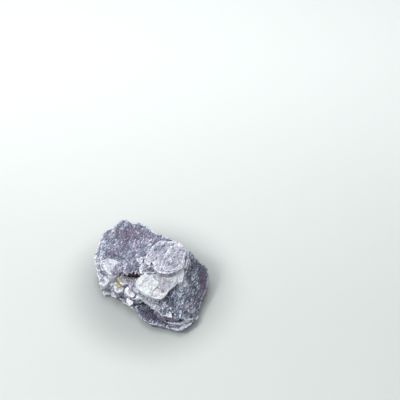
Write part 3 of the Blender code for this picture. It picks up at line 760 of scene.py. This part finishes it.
def scale_surfaces(places, normals, sizes, stretches, tilt, thickness, random):
    """Closed flat chips, one at each place: an uneven ring of corners round the place, its length more or
    less along the streaks, leaning a little from the surface, and the same ring one thickness lower.

    Returns an array with two rings of corners for each chip, the upper ring first.
    """
    count = len(places)
    lean = normals + random.normal(0, tilt, (count, 3))
    lean /= np.linalg.norm(lean, axis=1, keepdims=True)
    streak = np.array([math.cos(STREAK_TURN), math.sin(STREAK_TURN), 0])
    ahead = np.cross(lean, streak + random.normal(0, SCALE_STRAY, (count, 3)))
    ahead /= np.linalg.norm(ahead, axis=1, keepdims=True)
    aside = np.cross(ahead, lean)
    stray = random.uniform(-SCALE_UNEVEN, SCALE_UNEVEN, (count, SCALE_CORNERS))
    angles = (np.arange(SCALE_CORNERS) + stray) * (2 * math.pi / SCALE_CORNERS)
    reach = sizes[:, None] * random.uniform(0.72, 1.1, (count, SCALE_CORNERS))
    ring = (
        places[:, None]
        + (np.cos(angles) * reach * stretches[:, None])[..., None] * aside[:, None]
        + (np.sin(angles) * reach / stretches[:, None])[..., None] * ahead[:, None]
    )
    upper = ring + (lean * thickness[:, None] * 0.6)[:, None]
    lower = ring - (lean * thickness[:, None] * 0.4)[:, None]
    return np.stack([upper, lower], axis=1)


def scale_faces(count):
    """An upper face, a lower face and a wall of quads for each of count chips."""
    start = np.arange(count)[:, None] * 2 * SCALE_CORNERS
    corner = np.arange(SCALE_CORNERS)
    upper = start + corner
    lower = start + SCALE_CORNERS + corner[::-1]
    after = (corner + 1) % SCALE_CORNERS
    wall = np.stack([corner, corner + SCALE_CORNERS, after + SCALE_CORNERS, after], axis=-1)
    return upper, lower, (start[..., None] + wall).reshape(-1, 4)


def scattered_places(block, count, random):
    """Random places on the block: the faces are picked by their area, by how much they look upward, and well
    inside the rims, where no scale would stick out."""
    mesh = block.data
    first_loop = read_values(mesh.polygons, "loop_start", whole=True)
    corner = read_values(mesh.loops, "vertex_index", whole=True)
    rim = read_values(mesh.attributes["rim"].data, "value")
    area = read_values(mesh.polygons, "area")
    normal = read_values(mesh.polygons, "normal", 3)
    centre = read_values(mesh.polygons, "center", 3)
    finish = read_values(mesh.polygons, "material_index", whole=True)
    inside = rim[corner[first_loop]] < SCALE_RIM
    wanted = np.array([SCALES_WANTED[name] for name in FINISHES])[finish]
    chance = area * wanted * inside * np.clip(normal[:, 2] - 0.1, 0, 0.5)
    chance *= centre[:, 2] > SCALE_LOWEST
    picked = random.choice(len(area), count, p=chance / chance.sum())
    return centre[picked], normal[picked], finish[picked]


def scales_object(block, settings):
    random = np.random.default_rng(settings.seed)
    places, normals, finish = scattered_places(block, settings.count, random)
    sizes = settings.size * np.exp(np.clip(random.normal(0, SCALE_SPREAD, settings.count), *SCALE_RANGE))
    stretches = np.exp(random.uniform(0.1, 0.6, settings.count))
    thickness = settings.thickness * random.uniform(0.6, 1.5, settings.count)
    corners = scale_surfaces(places, normals, sizes, stretches, settings.tilt, thickness, random)
    upper, lower, wall = scale_faces(settings.count)
    mesh = mesh_from("mica_scales", corners.reshape(-1, 3), (upper, lower, wall))
    for material in block.data.materials:
        mesh.materials.append(material)
    of_faces = np.r_[finish, finish, np.repeat(finish, SCALE_CORNERS)]
    mesh.polygons.foreach_set("material_index", of_faces.astype(np.int32))
    tone = np.repeat(random.normal(0, SCALE_TONES, settings.count), 2 * SCALE_CORNERS)
    set_values(mesh, "tone", tone)
    mark_patches(mesh)
    return placed("mica_scales", mesh)


# Node helpers


def add_node(tree, kind, inputs=None, **settings):
    """A node of a kind, its settings, and its inputs: a value for a plain socket, a socket to link one."""
    node = tree.nodes.new("ShaderNode" + kind)
    for key, value in settings.items():
        setattr(node, key, value)
    for key, value in (inputs or {}).items():
        if isinstance(value, bpy.types.NodeSocket):
            tree.links.new(value, node.inputs[key])
        else:
            node.inputs[key].default_value = value
    return node


def maths(tree, first, second, operation="ADD", third=0.0):
    """first and second put together by one of Blender's operations, such as ADD or MULTIPLY."""
    return add_node(tree, "Math", {0: first, 1: second, 2: third}, operation=operation).outputs[0]


def weighted_sum(tree, parts, total=0.0):
    """total, and each part's socket times its weight. parts are pairs of a socket and a weight."""
    for socket, weight in parts:
        total = maths(tree, socket, weight, "MULTIPLY_ADD", total)
    return total


def vector_maths(tree, first, second, operation="ADD"):
    return add_node(tree, "VectorMath", {0: first, 1: second}, operation=operation).outputs[0]


def scaled(tree, vector, factor):
    return add_node(tree, "VectorMath", {0: vector, "Scale": factor}, operation="SCALE").outputs[0]


def noise_at(tree, place, detail, roughness, scale=1.0, output=0):
    """Fractal noise. Output 0 is one noise, output 1 three of them as a colour."""
    inputs = {"Vector": place, "Scale": scale, "Detail": detail, "Roughness": roughness}
    return add_node(tree, "TexNoise", inputs).outputs[output]


def cells_at(tree, place):
    """A random colour for every cell around scattered seeds."""
    return add_node(tree, "TexVoronoi", {"Vector": place, "Scale": 1.0}).outputs["Color"]


def mask_between(tree, value, low, high, to_low=0.0, to_high=1.0):
    """Eased from to_low where the value is low or less to to_high where it is high or more."""
    inputs = {"Value": value, "From Min": low, "From Max": high, "To Min": to_low, "To Max": to_high}
    return add_node(tree, "MapRange", inputs, interpolation_type="SMOOTHSTEP").outputs[0]


def blended(tree, factor, first, second, kind="MIX"):
    """first, taken over to second by the factor. Each is a colour's socket or its three numbers."""
    ends = [end if isinstance(end, bpy.types.NodeSocket) else (*end, 1) for end in (first, second)]
    inputs = {0: factor, 6: ends[0], 7: ends[1]}
    return add_node(tree, "Mix", inputs, data_type="RGBA", blend_type=kind, clamp_factor=True).outputs[2]


def attribute(tree, name):
    return add_node(tree, "Attribute", attribute_name=name).outputs["Fac"]


def millimetres(tree):
    """Where the surface is, in millimetres."""
    return scaled(tree, add_node(tree, "TexCoord").outputs["Object"], 1 / MM)


def empty_material(name):
    material = bpy.data.materials.new(name)
    material.use_nodes = True
    material.node_tree.nodes.clear()
    return material


def new_group(name, inputs, outputs):
    """An empty node group with sockets of these names."""
    tree = bpy.data.node_groups.new(name, "ShaderNodeTree")
    for names, way in ((inputs, "INPUT"), (outputs, "OUTPUT")):
        for socket in names:
            kind = "NodeSocket" + SOCKET_KINDS.get(socket, "Float")
            tree.interface.new_socket(socket, in_out=way, socket_type=kind)
    return tree, tree.nodes.new("NodeGroupInput").outputs, tree.nodes.new("NodeGroupOutput").inputs


def group_node(tree, group, inputs):
    return add_node(tree, "Group", inputs, node_tree=group).outputs


# Effects that several finishes share


def mottle_group():
    """Mica's uneven colour: slow clouds, fine grain, slanting streaks, slanting leafy chips of two sizes and
    random tones, and two slow tints. A few of the small chips are pale flecks, and a few dark specks."""
    sizes = ["Cloud Size", "Grain Size", "Chip Size", "Streak Turn", "Streak Length", "Streak Width"]
    tones = ["Clouds", "Grain", "Streaks", "Chips", "Flecks", "Specks", "Cool", "Warm"]
    tree, given, out = new_group("Mica mottle", ["Position", *sizes], tones)
    position = given["Position"]

    def divided(vector, by):
        return vector_maths(tree, vector, by, "DIVIDE")

    def channels(colour):
        return add_node(tree, "SeparateColor", {0: colour}).outputs

    def give(name, value, low, high):
        tree.links.new(mask_between(tree, value, low, high), out[name])

    give("Clouds", noise_at(tree, divided(position, given["Cloud Size"]), 3.0, 0.62), 0.36, 0.64)
    give("Grain", noise_at(tree, divided(position, given["Grain Size"]), 2.0, 0.65), 0.4, 0.6)
    hues = channels(noise_at(tree, divided(position, (5.5, 5.5, 5.5)), 1.0, 0.5, output=1))
    give("Cool", hues[0], 0.46, 0.62)
    give("Warm", hues[1], 0.48, 0.64)
    bend = scaled(tree, noise_at(tree, position, 2.0, 0.6, output=1), 0.25)
    back = maths(tree, given["Streak Turn"], -1.0, "MULTIPLY")
    turning = {"Vector": vector_maths(tree, position, bend), "Angle": back}
    turned = add_node(tree, "VectorRotate", turning, rotation_type="Z_AXIS").outputs[0]
    sides = {0: given["Streak Length"], 1: given["Streak Width"], 2: given["Streak Width"]}
    slender = add_node(tree, "CombineXYZ", sides).outputs[0]
    give("Streaks", noise_at(tree, divided(turned, slender), 1.0, 0.5), 0.54, 0.64)
    chips = divided(turned, given["Chip Size"])
    tree.links.new(channels(cells_at(tree, divided(chips, (3.2, 1.4, 1.4))))[0], out["Chips"])
    small = channels(cells_at(tree, divided(chips, (2.0, 0.62, 0.62))))
    give("Flecks", small[0], 0.86, 0.88)
    give("Specks", small[1], 0.86, 0.88)
    return tree


def scaly_normal_group():
    """Many small scales, each leaning its own way: a random lean for every cell is added to the normal."""
    tree, given, out = new_group("Scaly lustre", ["Position", "Scale Size", "Lean"], ["Normal"])
    cells = cells_at(tree, vector_maths(tree, given["Position"], given["Scale Size"], "DIVIDE"))
    lean = scaled(tree, vector_maths(tree, cells, (0.5, 0.5, 0.5), "SUBTRACT"), given["Lean"])
    whole = vector_maths(tree, add_node(tree, "NewGeometry").outputs["Normal"], lean)
    normal = add_node(tree, "VectorMath", {0: whole}, operation="NORMALIZE").outputs[0]
    tree.links.new(normal, out["Normal"])
    return tree


def leaf_line_group():
    """Fine lines along a broken edge: noise that is long in the ground's plane and thin across leaves."""
    tree, given, out = new_group("Leaf lines", ["Position", "Depth", "Line Length", "Line Width"], ["Lines"])
    parts = add_node(tree, "SeparateXYZ", {0: given["Position"]}).outputs
    long_x = maths(tree, parts[0], given["Line Length"], "DIVIDE")
    long_y = maths(tree, parts[1], given["Line Length"], "DIVIDE")
    thin = maths(tree, given["Depth"], given["Line Width"], "DIVIDE")
    place = add_node(tree, "CombineXYZ", {0: long_x, 1: long_y, 2: thin}).outputs[0]
    tree.links.new(mask_between(tree, noise_at(tree, place, 2.0, 0.6), 0.38, 0.64), out["Lines"])
    return tree


def stain_and_painted_light_group(colours):
    """Stains and painted light laid over a colour: silver patches of painted highlight, lavender patches,
    each loose scale's own tone, violet patches that are partly painted shade, ochre patches, painted shade
    in the hollows, rims and sharp edges painted paler (partly painted highlight), and rust on top that is
    partly painted shade. Patches have ragged borders."""
    inputs = ["Position", "Color", "Painted Hollow Shade", "Rim Shine"]
    tree, given, out = new_group("Stains and painted light", inputs, ["Color"])
    noise = noise_at(tree, scaled(tree, given["Position"], 1 / 1.3), 3.0, 0.7)
    ragged = mask_between(tree, noise, 0.35, 0.65, -0.5, 0.5)

    def ragged_patch(kind, most=0.82):
        strength = attribute(tree, kind)
        loose = maths(tree, maths(tree, strength, ragged), strength, "MULTIPLY")
        return mask_between(tree, loose, 0.04, 0.8, 0.0, most)

    # Painted highlight: the silver patches
    colour = blended(tree, ragged_patch("silver_sheen", 0.72), given["Color"], colours.silver_sheen)
    colour = blended(tree, ragged_patch("lavender"), colour, colours.lavender)
    tone = attribute(tree, "tone")
    colour = blended(tree, mask_between(tree, tone, 0.1, 1.2, 0.0, 0.7), colour, colours.silver_sheen)
    colour = blended(tree, mask_between(tree, tone, -1.2, -0.1, 0.6, 0.0), colour, colours.plate_shade)
    # Violet: the rock's own violet, and painted shade in the gaps
    colour = blended(tree, ragged_patch("violet_and_shade"), colour, colours.violet_and_shade)
    colour = blended(tree, ragged_patch("ochre"), colour, colours.ochre)
    # Painted shade: hollows and cracks are darkened
    hollow = attribute(tree, "hollow")
    dark = maths(tree, mask_between(tree, hollow, 0.12, 0.7), given["Painted Hollow Shade"], "MULTIPLY")
    colour = blended(tree, dark, colour, PAINTED_HOLLOW_SHADE, "MULTIPLY")
    # Rims and sharp edges are painted paler: partly the leaves' silvery edges, partly painted highlight
    sharp_edge_paleness = mask_between(tree, hollow, -0.6, -0.15, 0.3, 0.0)
    broken = mask_between(tree, noise, 0.38, 0.58)
    rim = maths(tree, mask_between(tree, attribute(tree, "rim"), 0.3, 0.9), sharp_edge_paleness, "ADD")
    shine = maths(tree, maths(tree, rim, broken, "MULTIPLY"), given["Rim Shine"], "MULTIPLY")
    colour = blended(tree, shine, colour, colours.silver_sheen)
    # Rust on top: a red-brown stain, and painted shade in the crevice
    colour = blended(tree, ragged_patch("rust_and_shade"), colour, colours.rust_and_shade)
    tree.links.new(colour, out["Color"])
    return tree


def shared_groups(colours):
    return {
        "mottle": mottle_group(),
        "scaly": scaly_normal_group(),
        "leaf_lines": leaf_line_group(),
        "stains_and_light": stain_and_painted_light_group(colours),
    }


# Finishes


class Look:
    """How one finish differs from the others.

    clouds, grain, chips, streaks, flecks, specks and lines say how much each darkens or lightens the
    colour; streak_turn is in degrees, streak_size and scale_size in millimetres; lean is how far the small
    facets lean; rough is the roughness where the grain is smooth and where it is dull; glint is how like
    metal the flecks and streaks shine; chip_size is a factor; bump, coat, hollow and rim are the strengths
    of the fine relief, the clear coat, the painted shade in the hollows and the pale rims, which are partly
    painted highlight.
    """

    clouds = 0.4
    grain = 0.3
    chips = 0.5
    streaks = 0.5
    flecks = 0.7
    specks = 0.7
    lines = 0.0
    streak_turn = 60
    streak_size = (4, 0.55)
    chip_size = 1.0
    lean = 0.3
    scale_size = 1.1
    bump = 0.4
    rough = (0.3, 0.55)
    glint = 0.6
    coat = 0.25
    hollow = 0.6
    rim = 1.0

    def __init__(self, **changes):
        for name, value in changes.items():
            setattr(self, name, value)


def mica_material(name, groups, colours, finish, look):
    """Mica: one number, the tone, is the sum of the mottle's parts; it takes the finish's colour to its
    shade below zero and to its light above zero. The shared stains and painted light (painted highlights and
    painted shade) lie over it, with pearly facets in its normal and fine relief in its bump."""
    base, shade, light = (getattr(colours, finish + part) for part in ("", "_shade", "_light"))
    material = empty_material(name)
    tree = material.node_tree
    position = millimetres(tree)
    mottle = group_node(tree, groups["mottle"], {
        "Position": position, "Cloud Size": CLOUD_SIZE, "Grain Size": GRAIN_SIZE,
        "Chip Size": look.chip_size, "Streak Turn": math.radians(look.streak_turn),
        "Streak Length": look.streak_size[0], "Streak Width": look.streak_size[1],
    })
    lines = group_node(tree, groups["leaf_lines"], {
        "Position": position, "Depth": attribute(tree, "leaf_depth"), "Line Length": LINE_SIZE[0],
        "Line Width": LINE_SIZE[1],
    })["Lines"]
    chips = maths(tree, mottle["Chips"], 0.5, "SUBTRACT")
    tone = weighted_sum(tree, [
        (mottle["Clouds"], -look.clouds), (mottle["Grain"], -look.grain), (mottle["Specks"], -look.specks),
        (lines, -look.lines), (chips, look.chips), (mottle["Streaks"], look.streaks),
        (mottle["Flecks"], look.flecks),
    ], look.clouds * 0.4)
    colour = blended(tree, maths(tree, tone, -1.0, "MULTIPLY"), base, shade)
    colour = blended(tree, tone, colour, light)
    colour = blended(tree, mottle["Cool"], colour, COOL_TINT, "MULTIPLY")
    colour = blended(tree, mottle["Warm"], colour, WARM_TINT, "MULTIPLY")
    stained_and_painted = group_node(tree, groups["stains_and_light"], {
        "Position": position, "Color": colour, "Painted Hollow Shade": look.hollow, "Rim Shine": look.rim,
    })
    relief = weighted_sum(tree, [
        (mottle["Grain"], 0.5), (mottle["Streaks"], 0.6), (mottle["Chips"], 0.5),
        (lines, 0.8 if look.lines else 0.2),
    ])
    scaly = {"Position": position, "Scale Size": look.scale_size, "Lean": look.lean}
    facets = group_node(tree, groups["scaly"], scaly)["Normal"]
    raised = {"Strength": look.bump, "Distance": 0.35 * MM, "Height": relief, "Normal": facets}
    glint = weighted_sum(tree, [
        (mottle["Flecks"], look.glint), (mottle["Streaks"], 0.6 * look.glint),
        (mottle["Chips"], 0.35 * look.glint),
    ])
    shader = add_node(tree, "BsdfPrincipled", {
        "Base Color": stained_and_painted["Color"], "Metallic": glint, "IOR": MICA_IOR, "Specular IOR Level": 0.75,
        "Roughness": mask_between(tree, mottle["Grain"], 0.0, 1.0, *look.rough),
        "Coat Weight": look.coat, "Coat Roughness": 0.22, "Coat IOR": MICA_IOR,
        "Normal": add_node(tree, "Bump", raised).outputs[0],
    })
    add_node(tree, "OutputMaterial", {"Surface": shader.outputs[0]})
    return material


def cleavage_plate_material(groups, colours):
    look = Look(clouds=0.55, grain=0.45, streaks=0.4, flecks=0.8, specks=0.8, lean=0.25, glint=0.4,
                hollow=0.7)
    return mica_material("cleavage_plate", groups, colours, "plate", look)


def pale_plate_material(groups, colours):
    look = Look(clouds=0.3, grain=0.5, streaks=0.25, specks=0.8, lean=0.25, glint=0.4, coat=0.3, hollow=0.85,
                rim=1.3)
    return mica_material("pale_plate", groups, colours, "pale", look)


# The white flakes: partly their own pale colour, partly painted highlight where they face the light
def bright_flake_material(groups, colours):
    look = Look(clouds=0.25, grain=0.4, chips=0.25, streaks=0.15, flecks=0.3, specks=0.6, lean=0.2,
                rough=(0.26, 0.45), glint=0.3)
    return mica_material("bright_flake", groups, colours, "bright", look)


def streaked_slab_material(groups, colours):
    look = Look(clouds=0.3, grain=0.5, streaks=1.2, flecks=1.0, specks=0.9, chip_size=0.9, streak_turn=53,
                streak_size=(5, 0.62), lean=0.5, scale_size=0.8, bump=0.6, rim=1.2)
    return mica_material("streaked_slab", groups, colours, "slab", look)


def schisty_flank_material(groups, colours):
    look = Look(clouds=0.25, grain=0.5, chips=0.6, streaks=1.0, flecks=1.2, specks=0.9, chip_size=0.8,
                streak_turn=66, streak_size=(3.6, 0.55), lean=0.55, scale_size=0.8, bump=0.6, rim=0.7)
    return mica_material("schisty_flank", groups, colours, "flank", look)


def broken_edge_material(groups, colours):
    look = Look(clouds=0.3, grain=0.4, streaks=0.4, flecks=0.9, specks=0.9, lines=0.8, lean=0.4, bump=0.6,
                rim=0.9)
    return mica_material("broken_edge", groups, colours, "edge", look)


def finishes(colours):
    """The materials in the order of FINISHES."""
    groups = shared_groups(colours)
    makers = (cleavage_plate_material, pale_plate_material, bright_flake_material, streaked_slab_material,
              schisty_flank_material, broken_edge_material)
    return [maker(groups, colours) for maker in makers]


# The stage


def floor_material(colour):
    """Matt, pale and nearly even, with faint clouds, painted light that makes it a little paler towards the
    back, and a painted shadow close round the lump: a function of the distance from an ellipse that just
    holds its foot."""
    material = empty_material("pale_floor")
    tree = material.node_tree
    place = add_node(tree, "TexCoord").outputs["Object"]
    clouds = mask_between(tree, noise_at(tree, place, 3.0, 0.6, scale=9.0), 0.3, 0.7, 0.0, 0.05)
    # Painted light: the floor is made paler towards the back, where the light falls more
    behind = mask_between(tree, add_node(tree, "SeparateXYZ", {0: place}).outputs[1], -0.04, 0.22, 0.0, 0.9)
    base = blended(tree, clouds, colour, (0.53, 0.54, 0.48))
    base = blended(tree, behind, base, (0.93, 0.95, 0.94))
    # Painted shadow: the floor is darkened close round the lump's foot
    oval = vector_maths(tree, place, PAINTED_SHADOW_OVAL, "DIVIDE")
    distance = add_node(tree, "VectorMath", {0: oval}, operation="LENGTH").outputs["Value"]
    near = mask_between(tree, distance, 0.8, 1.7, 0.6, 0.0)
    base = blended(tree, near, base, (0.5, 0.51, 0.52), "MULTIPLY")
    matt = {"Base Color": base, "Roughness": 0.6, "Specular IOR Level": 0.2}
    add_node(tree, "OutputMaterial", {"Surface": add_node(tree, "BsdfPrincipled", matt).outputs[0]})
    return material


def bowl_surface(flat, bend, wall, around=96, steps=24):
    """A floor that turns up into a wall far away on every side: a profile, flat, then a quarter circle, then
    upright, carried round the vertical axis. A point at the middle closes it."""
    angle = np.linspace(0, math.pi / 2, steps)
    radius = np.r_[np.linspace(flat / 8, flat, 8), flat + bend * np.sin(angle[1:]), flat + bend]
    height = np.r_[np.zeros(8), bend * (1 - np.cos(angle[1:])), bend + wall]
    turn = np.arange(around) * 2 * math.pi / around
    across, level = radius[:, None], np.repeat(height[:, None], around, 1)
    rings = np.stack([across * np.cos(turn), across * np.sin(turn), level], axis=-1)
    quads, fan, _ = grid_faces(len(radius), around)
    return np.vstack([rings.reshape(-1, 3), [[0, 0, 0]]]), (quads, fan)


def add_floor(settings):
    points, faces = bowl_surface(settings.floor_radius, FLOOR_BEND, FLOOR_WALL)
    mesh = mesh_from("pale_floor", points, faces)
    mesh.polygons.foreach_set("use_smooth", np.ones(len(mesh.polygons), bool))
    mesh.materials.append(floor_material(settings.floor))
    floor = placed("pale_floor", mesh)


def add_soft_light(name, power, place, size, aim=(0, 0, 0)):
    """A square area light."""
    light = bpy.data.lights.new(name, "AREA")
    light.shape = "SQUARE"
    light.size = size
    light.energy = power
    lamp = placed(name, light)
    lamp.location = place
    lamp.rotation_euler = (Vector(aim) - Vector(place)).to_track_quat("-Z", "Y").to_euler()


def add_world(strength):
    world = bpy.data.worlds.new("pale_room")
    world.use_nodes = True
    background = world.node_tree.nodes["Background"]
    background.inputs["Color"].default_value = (0.95, 0.98, 1, 1)
    background.inputs["Strength"].default_value = strength
    bpy.context.scene.world = world


def add_camera():
    """Looks down at VIEW_PITCH from where the middle of the lump's foot falls on LUMP_PIXEL."""
    forward = np.array([0, math.cos(VIEW_PITCH), -math.sin(VIEW_PITCH)])
    up = np.array([0, math.sin(VIEW_PITCH), math.cos(VIEW_PITCH)])
    half = PICTURE_SIDE / 2
    across, down = (LUMP_PIXEL[0] - half) / FOCAL_PIXELS, (half - LUMP_PIXEL[1]) / FOCAL_PIXELS
    place = -VIEW_DEPTH * (forward + across * np.array([1, 0, 0]) + down * up)
    place[:2] -= BOX_MIDDLE * MM
    data = bpy.data.cameras.new("camera")
    data.sensor_width = SENSOR
    data.lens = FOCAL_PIXELS / PICTURE_SIDE * SENSOR
    data.clip_start = 0.01
    camera = placed("camera", data)
    camera.location = place
    camera.rotation_euler = (math.pi / 2 - VIEW_PITCH, 0, 0)
    bpy.context.scene.camera = camera


# Settings, operators and panel


def size_setting(name, description, default):
    return bpy.props.FloatProperty(
        name=name, description=description, default=default, min=0, precision=5, subtype="DISTANCE",
        unit="LENGTH",
    )


def colour_setting(name, description, default):
    return bpy.props.FloatVectorProperty(
        name=name, description=description, default=default, min=0, max=1, size=3, subtype="COLOR"
    )


def whole_setting(name, description, default, least=0):
    return bpy.props.IntProperty(name=name, description=description, default=default, min=least)


def share_setting(name, description, default):
    return bpy.props.FloatProperty(name=name, description=description, default=default, min=0)


def power_setting(name, description, default):
    return bpy.props.FloatProperty(name=name, description=description, default=default, unit="POWER")


class LumpSettings(bpy.types.PropertyGroup):
    seed: whole_setting("Seed", "Picks another broken rim for every plate", 204)
    grid: size_setting("Grid", "Distance between neighbouring points of a plate", 0.45 * MM)
    leaf: size_setting("Leaf", "Thickness of one leaf at the broken edges", 0.55 * MM)
    ragged: size_setting("Raggedness", "How far the leaves' rims stray from the outline", 0.26 * MM)


class ScaleSettings(bpy.types.PropertyGroup):
    seed: whole_setting("Seed", "Scatters the scales another way", 27)
    count: whole_setting("Count", "How many loose scales lie on the lump", 3200, least=1)
    size: size_setting("Size", "Half width of a usual scale", 0.5 * MM)
    thickness: size_setting("Thickness", "Thickness of a usual scale", 0.1 * MM)
    tilt: share_setting("Tilt", "How far the scales lean from the surface", 0.13)


class ColourSettings(bpy.types.PropertyGroup):
    plate: colour_setting("Plate", "Lilac grey of the cleavage plates", (0.25, 0.255, 0.365))
    plate_shade: colour_setting("Plate shade", "Dark violet mottling of the plates", (0.085, 0.075, 0.145))
    plate_light: colour_setting("Plate light", "Pale flecks of the plates", (0.78, 0.80, 0.90))
    pale: colour_setting("Pale plate", "The round plate and the lavender flakes", (0.53, 0.535, 0.65))
    pale_shade: colour_setting("Pale shade", "Mottling of the pale plates", (0.15, 0.135, 0.21))
    pale_light: colour_setting("Pale light", "Flecks of the pale plates", (0.93, 0.94, 0.98))
    # White flakes: partly their own pale colour, partly painted highlight where they face the light
    bright: colour_setting("Bright flake", "White flakes", (0.87, 0.88, 0.90))
    bright_shade: colour_setting("Bright shade", "Mottling of the white flakes", (0.50, 0.49, 0.56))
    bright_light: colour_setting("Bright light", "Flecks of the white flakes", (0.92, 0.93, 0.94))
    flank: colour_setting("Flank", "Steel blue of the schisty flanks", (0.135, 0.148, 0.245))
    flank_shade: colour_setting("Flank shade", "Dark mottling of the flanks", (0.028, 0.028, 0.062))
    flank_light: colour_setting("Flank light", "Bluish white streaks of the flanks", (0.86, 0.89, 1.0))
    slab: colour_setting("Slab", "Bluish grey of the lower slab", (0.19, 0.215, 0.33))
    slab_shade: colour_setting("Slab shade", "Dark gaps between the slab's streaks", (0.038, 0.04, 0.085))
    slab_light: colour_setting("Slab light", "Bluish white streaks of the slab", (0.90, 0.93, 1.0))
    edge: colour_setting("Edge", "Broken edges of the leaves", (0.46, 0.465, 0.58))
    edge_shade: colour_setting("Edge shade", "Dark lines between the leaves", (0.07, 0.06, 0.11))
    edge_light: colour_setting("Edge light", "Silvery leaf edges", (0.88, 0.89, 0.96))
    # Silver: painted highlight on its patches and, partly, on the rims; also the pale tone of some loose
    # scales
    silver_sheen: colour_setting("Silver", "Shining patches and rims", (0.83, 0.84, 0.92))
    lavender: colour_setting("Lavender", "Pinkish lavender patches of the pale flakes", (0.43, 0.41, 0.50))
    # Violet: the rock's own deep violet, and painted shade in the gap under the slab's lip and in a small
    # hole
    violet_and_shade: colour_setting("Violet", "Deep violet patches", (0.096, 0.06, 0.125))
    ochre: colour_setting("Ochre", "Yellowish stain", (0.50, 0.43, 0.20))
    # Rust: a red-brown stain, and painted shade darkening the crevice
    rust_and_shade: colour_setting("Rust", "Red brown of the crevice", (0.055, 0.024, 0.032))


class StageSettings(bpy.types.PropertyGroup):
    floor: colour_setting("Floor", "Pale floor", (0.71, 0.74, 0.72))
    floor_radius: size_setting("Floor radius", "How far the floor runs before it turns up", 0.9)
    key_power: power_setting("Key light", "Overhead light", 1.2)
    small_power: power_setting("Small light", "Makes the mica glint", 2.2)
    back_power: power_setting("Back light", "Light on the floor behind", 0.8)
    room: share_setting("Room light", "Light from all sides", 0.63)


class Lump(bpy.types.Operator):
    """Build the lump: the mica plates with their leafy broken rims, grown together into one block"""

    bl_idname = "lepidolite.lump"
    bl_label = "Build the lump"

    def execute(self, context):
        settings = context.scene.lepidolite_lump
        random = np.random.default_rng(settings.seed)
        size = {"grid": settings.grid / MM, "leaf": settings.leaf / MM, "ragged": settings.ragged / MM}
        plates = [plate_object(plate, size, settings.seed, random) for plate in PLATES]
        block = joined_block(plates, "lepidolite_block")
        thinned(block, TRIANGLES_MOST)
        set_values(block.data, "hollow", hollow_values(block.data))
        mark_patches(block.data)
        for place, material in enumerate(finishes(context.scene.lepidolite_colours)):
            block.data.materials[place] = material
        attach(block, "root")
        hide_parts(NODE)
        return {"FINISHED"}


class Scales(bpy.types.Operator):
    """Scatter small mica scales over the lump"""

    bl_idname = "lepidolite.scales"
    bl_label = "Scatter the scales"

    def execute(self, context):
        block = bpy.data.objects["lepidolite_block"]
        scales = scales_object(block, context.scene.lepidolite_scales)
        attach(scales, "root")
        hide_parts(NODE)
        return {"FINISHED"}


class Stage(bpy.types.Operator):
    """Set the pale floor, the soft light and the camera"""

    bl_idname = "lepidolite.stage"
    bl_label = "Set the stage"

    def execute(self, context):
        settings = context.scene.lepidolite_stage
        add_floor(settings)
        add_soft_light("key_light", settings.key_power, **KEY_LIGHT)
        add_soft_light("small_light", settings.small_power, **SMALL_LIGHT)
        add_soft_light("back_light", settings.back_power, **BACK_LIGHT)
        add_world(settings.room)
        add_camera()
        context.scene.view_settings.view_transform = "Standard"
        return {"FINISHED"}


class Sidebar(bpy.types.Panel):
    """Lists the settings and the steps"""

    bl_idname = "VIEW3D_PT_lepidolite"
    bl_label = "Raw lepidolite"
    bl_space_type = "VIEW_3D"
    bl_region_type = "UI"
    bl_category = "Lepidolite"

    def draw(self, context):
        for operator, settings in STEPS:
            box = self.layout.box()
            for group in settings:
                values = getattr(context.scene, group)
                for name in values.bl_rna.properties.keys():
                    if name not in ("rna_type", "name"):
                        box.prop(values, name)
            box.operator(operator.bl_idname)


STEPS = (
    (Lump, ("lepidolite_lump", "lepidolite_colours")),
    (Scales, ("lepidolite_scales",)),
    (Stage, ("lepidolite_stage",)),
)
SETTINGS = {
    "lepidolite_lump": LumpSettings,
    "lepidolite_scales": ScaleSettings,
    "lepidolite_colours": ColourSettings,
    "lepidolite_stage": StageSettings,
}


def register():
    for name, group in SETTINGS.items():
        bpy.utils.register_class(group)
        setattr(bpy.types.Scene, name, bpy.props.PointerProperty(type=group))
    for operator, _ in STEPS:
        bpy.utils.register_class(operator)
    bpy.utils.register_class(Sidebar)


def unregister():
    bpy.utils.unregister_class(Sidebar)
    for operator, _ in STEPS:
        bpy.utils.unregister_class(operator)
    for name, group in SETTINGS.items():
        delattr(bpy.types.Scene, name)
        bpy.utils.unregister_class(group)


def main():
    register()
    bpy.ops.lepidolite.lump()
    bpy.ops.lepidolite.scales()
    bpy.ops.lepidolite.stage()


if __name__ == "__main__":
    main()
